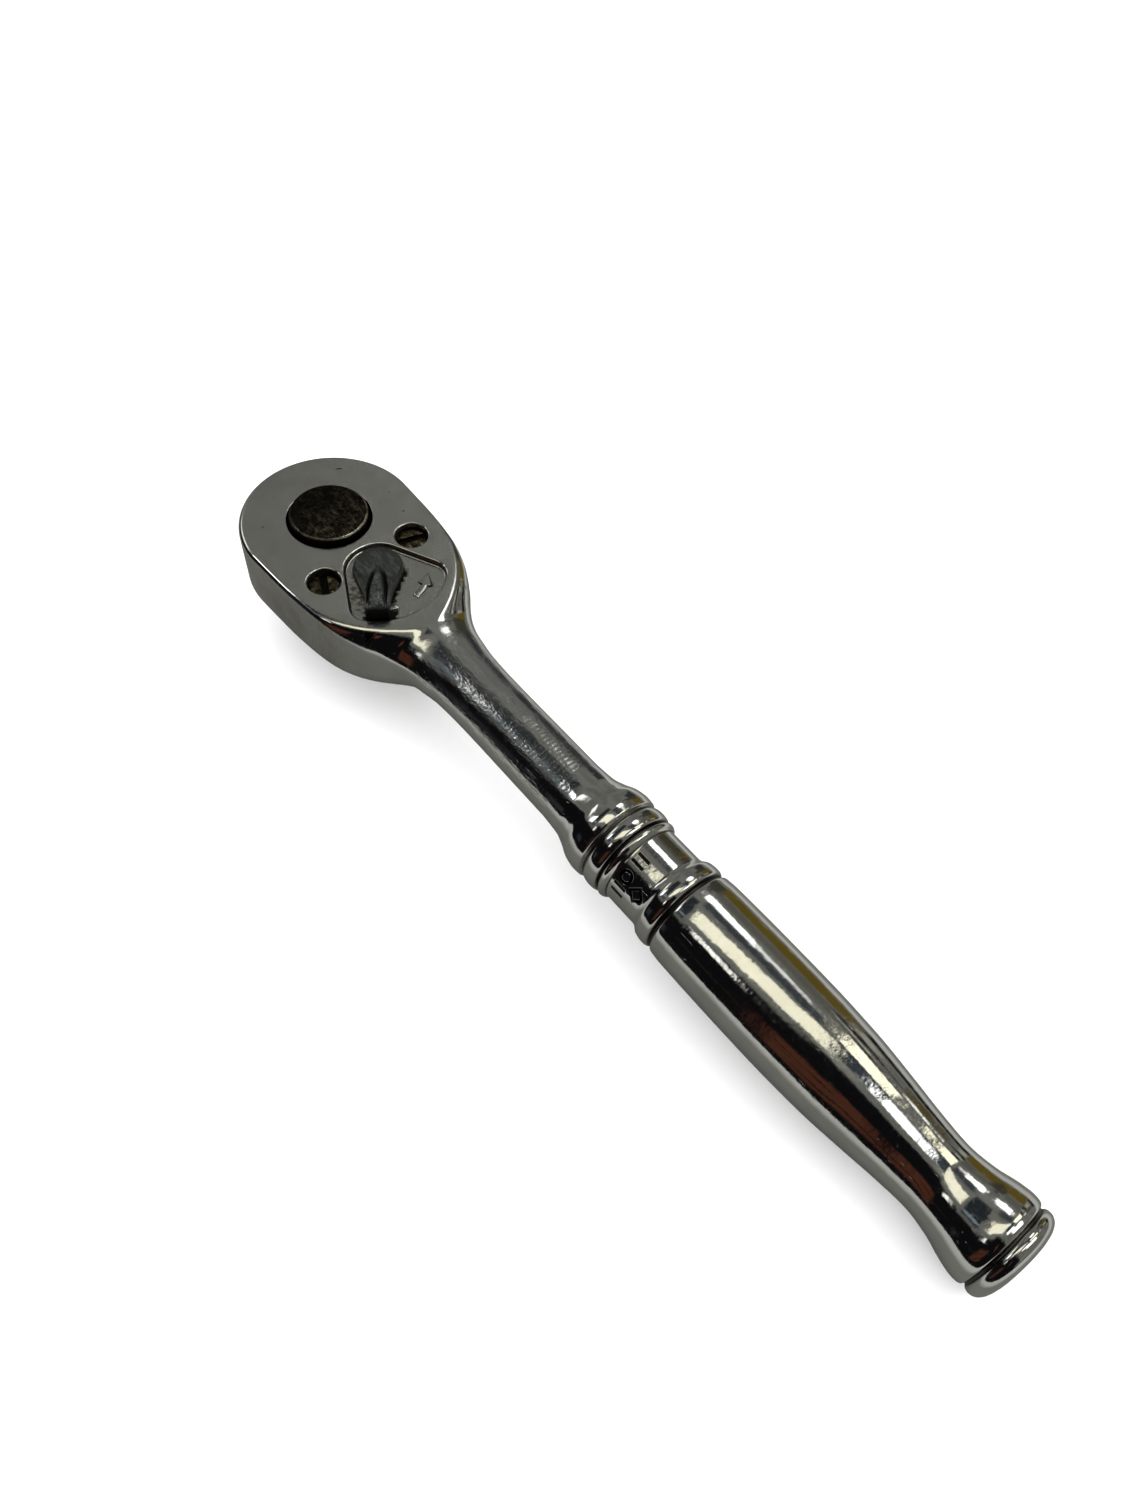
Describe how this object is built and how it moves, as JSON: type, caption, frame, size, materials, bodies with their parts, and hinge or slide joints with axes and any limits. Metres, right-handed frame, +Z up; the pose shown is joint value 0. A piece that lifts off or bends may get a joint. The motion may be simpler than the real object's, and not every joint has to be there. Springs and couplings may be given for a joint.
{
  "type": "ratchet wrench",
  "caption": "Reversible ratchet wrench with a round head, square drive, selector lever and turned handle.",
  "frame": {"origin": "centre of the square drive's end face, on the drive axis", "axes": "+Z up the drive axis to the selector side of the head, +X along the handle to its end"},
  "size_m": [0.1135, 0.0208, 0.0177],
  "materials": {
    "polished_chrome": "polished chrome plate, lightly worn",
    "plate_steel": "ground steel",
    "screw_steel": "dull brown patina",
    "gear_steel": "dark heat-treated steel",
    "hard_steel": "hardened and ground",
    "spring_steel": "drawn wire and strip",
    "black_oxide": "black oxide"
  },
  "bodies": {
    "body": {"ratchet_body": "polished_chrome", "cover_plate": "plate_steel", "cover_screw_left": "screw_steel", "cover_screw_right": "screw_steel"},
    "drive": {"drive_gear": "gear_steel", "drive_ball_spring": "spring_steel"},
    "drive_ball": {"drive_ball": "hard_steel"},
    "selector": {"selector_lever": "black_oxide", "selector_clip": "spring_steel", "selector_spring": "spring_steel"},
    "selector_ball": {"selector_ball": "hard_steel"},
    "pawl": {"pawl": "hard_steel"}
  },
  "joints": [
    {"name": "drive_spin", "type": "hinge", "parent": "body", "child": "drive", "pos_m": [0, 0, 0], "axis": [0, 0, 1], "continuous": true},
    {"name": "lever_swing", "type": "hinge", "parent": "body", "child": "selector", "pos_m": [0.01, 0, 0.0117], "axis": [0, 0, 1], "range_deg": [0, 70]},
    {"name": "pawl_rock", "type": "hinge", "parent": "body", "child": "pawl", "pos_m": [0.01, 0, 0.0117], "axis": [0, 0, 1], "range_deg": [0, 14]},
    {"name": "drive_ball_press", "type": "slide", "parent": "drive", "child": "drive_ball", "axis": [1, 0, 0], "range_m": [0, 0.0005], "deforming": ["drive_ball_spring"]},
    {"name": "selector_ball_press", "type": "slide", "parent": "selector", "child": "selector_ball", "axis": [-0.8192, 0.5736, 0], "range_m": [0, 0.0002], "deforming": ["selector_spring"]}
  ],
  "couplings": [
    {"joint": "pawl_rock", "follows": "lever_swing", "ratio": 0.2}
  ]
}
